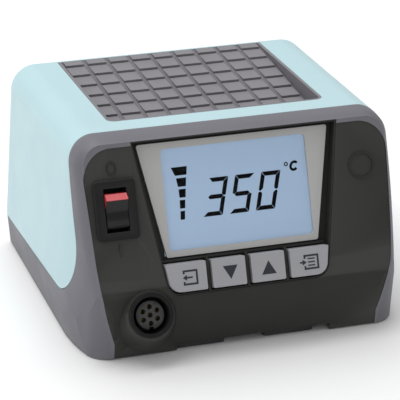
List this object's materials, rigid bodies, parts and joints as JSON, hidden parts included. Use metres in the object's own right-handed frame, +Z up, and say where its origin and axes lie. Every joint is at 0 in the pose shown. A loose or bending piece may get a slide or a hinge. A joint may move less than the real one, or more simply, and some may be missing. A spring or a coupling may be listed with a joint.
{
  "type": "soldering iron station",
  "caption": "Bench soldering station with an arched grey base, pale top cover, stepped rubber mat, sloping front with display, keys, rocker switch and tool socket, and a rear mains inlet.",
  "frame": {"origin": "on the bench under the middle of the station's bounding box", "axes": "+Z up, the front with the display faces -Y, +X to the right seen from the front"},
  "size_m": [0.1542, 0.1532, 0.0949],
  "materials": {
    "shell": "satin moulded grey",
    "cover": "satin moulded pale blue",
    "panel": "matte moulded dark grey",
    "bezel": "satin grey",
    "mat": "matte ribbed rubber",
    "foot": "matte black rubber",
    "key": "matte grey rubber",
    "window": "clear, slightly blue",
    "lcd": "blue grey display glass",
    "backlight": "diffusing white",
    "black_plastic": "satin black",
    "red_plastic": "satin red",
    "inlet_plastic": "matte black",
    "rear_plate": "fine textured grey paint",
    "board": "green solder resist",
    "part_plastic": "natural",
    "chip": "matte black",
    "steel": "bright zinc",
    "contact": "plated",
    "nickel": "nickel plated",
    "lamination": "varnished laminations",
    "copper": "enamelled wire",
    "aluminium": "plain",
    "fuse_glass": "clear",
    "wire": "insulated wire"
  },
  "bodies": {
    "station": {"base_shell": "shell", "top_cover": "cover", "front_panel": "panel", "rear_panel": "rear_plate", "stacking_mat": "mat", "front_skids": "foot", "round_feet": "foot", "case_screws": "steel", "display_carrier": "panel", "display_bezel": "bezel", "display_window": "window", "lcd_glass": "lcd", "lcd_backlight": "backlight", "display_board": "board", "display_board_screws": "steel", "key_switches": "chip", "display_driver_chip": "chip", "display_board_connector": "part_plastic", "switch_housing": "black_plastic", "switch_terminals": "contact", "socket_ring": "black_plastic", "socket_insert": "inlet_plastic", "socket_contacts": "contact", "socket_nut": "nickel", "mains_inlet": "inlet_plastic", "inlet_pins": "nickel", "inlet_screws": "steel", "inlet_nuts": "steel", "bonding_socket": "nickel", "bonding_nut": "nickel", "transformer_core": "lamination", "transformer_bobbin": "part_plastic", "transformer_winding": "copper", "transformer_bracket": "steel", "transformer_screws": "steel", "main_board": "board", "board_standoffs": "nickel", "board_screws": "steel", "capacitors": "aluminium", "heat_sink": "aluminium", "power_switch_device": "chip", "control_chips": "chip", "terminal_block": "part_plastic", "board_connectors": "part_plastic", "tool_lead": "wire", "switch_lead": "wire", "inlet_lead": "wire", "display_ribbon": "wire", "transformer_lead": "wire"},
    "key_exit_body": {"key_exit": "key"},
    "key_down_body": {"key_down": "key"},
    "key_up_body": {"key_up": "key"},
    "key_menu_body": {"key_menu": "key"},
    "rocker": {"switch_rocker": "black_plastic", "rocker_flag": "red_plastic"},
    "drawer": {"fuse_drawer": "inlet_plastic", "fuse_tube": "fuse_glass", "fuse_caps": "nickel"}
  },
  "joints": [
    {"name": "key_exit_press", "type": "slide", "parent": "station", "child": "key_exit_body", "axis": [0, 0.9354, -0.3536], "range_m": [0, 0.0008], "stiffness_N_per_m": 800},
    {"name": "key_down_press", "type": "slide", "parent": "station", "child": "key_down_body", "axis": [0, 0.9354, -0.3536], "range_m": [0, 0.0008], "stiffness_N_per_m": 800},
    {"name": "key_up_press", "type": "slide", "parent": "station", "child": "key_up_body", "axis": [0, 0.9354, -0.3536], "range_m": [0, 0.0008], "stiffness_N_per_m": 800},
    {"name": "key_menu_press", "type": "slide", "parent": "station", "child": "key_menu_body", "axis": [0, 0.9354, -0.3536], "range_m": [0, 0.0008], "stiffness_N_per_m": 800},
    {"name": "rocker_pivot", "type": "hinge", "parent": "station", "child": "rocker", "pos_m": [-0.0571, -0.05336, 0.06654], "axis": [1, 0, 0], "range_deg": [-24, 0]},
    {"name": "drawer_slide", "type": "slide", "parent": "station", "child": "drawer", "axis": [0, 1, 0], "range_m": [0, 0.014]}
  ]
}
